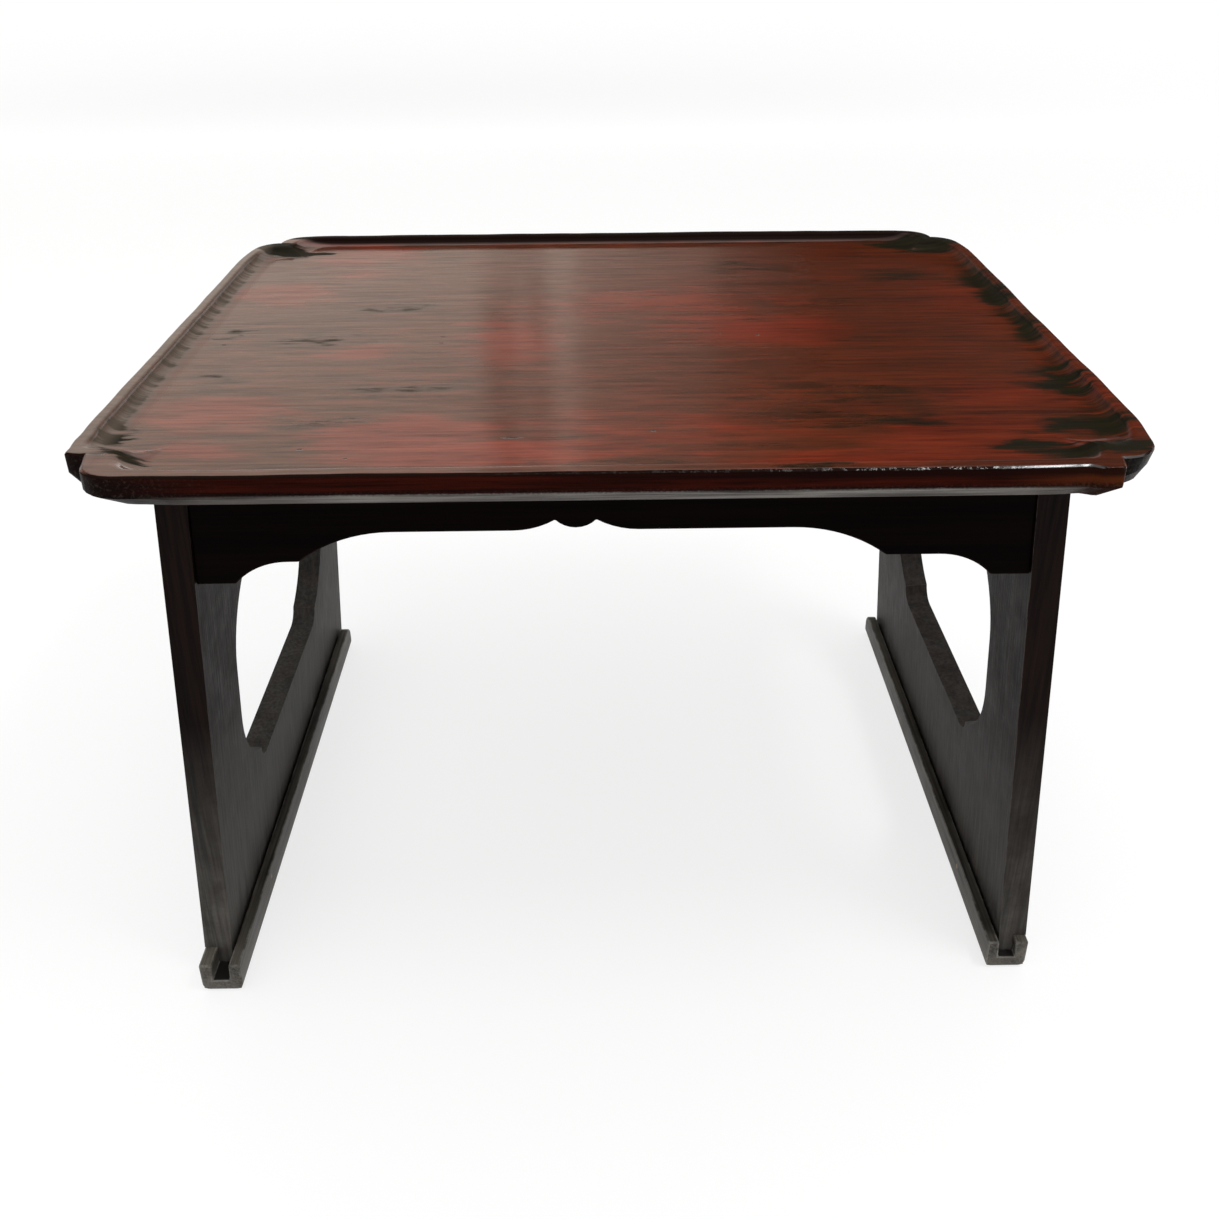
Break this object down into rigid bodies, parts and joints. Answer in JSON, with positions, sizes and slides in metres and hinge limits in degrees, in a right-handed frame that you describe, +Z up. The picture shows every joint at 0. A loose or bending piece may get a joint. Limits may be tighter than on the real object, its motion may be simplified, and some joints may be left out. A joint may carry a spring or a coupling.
{
  "type": "soban table",
  "caption": "Low portable dining table: a one-piece tray top with notched corners on two pierced, splayed leg boards, tied by scalloped aprons and standing on grooved foot rails.",
  "frame": {"origin": "on the floor, under the middle of the top", "axes": "+X to the right along the top's length, +Y to the back, +Z up"},
  "size_m": [0.44, 0.337, 0.296],
  "materials": {
    "tabletop_wood": "worn satin lacquer over red-brown wood",
    "leg_wood": "worn dark lacquer, rubbed grey on the inner faces",
    "apron_wood": "near-black lacquer",
    "rail_wood": "bare grey-brown wood with traces of lacquer",
    "peg_bamboo": "split bamboo, end grain showing"
  },
  "bodies": {
    "root": {"tabletop": "tabletop_wood", "left_leg_board": "leg_wood", "right_leg_board": "leg_wood", "front_apron": "apron_wood", "rear_apron": "apron_wood", "left_foot_rail": "rail_wood", "right_foot_rail": "rail_wood", "leg_pegs": "peg_bamboo", "apron_pegs": "peg_bamboo", "rail_pegs": "peg_bamboo"}
  },
  "joints": []
}
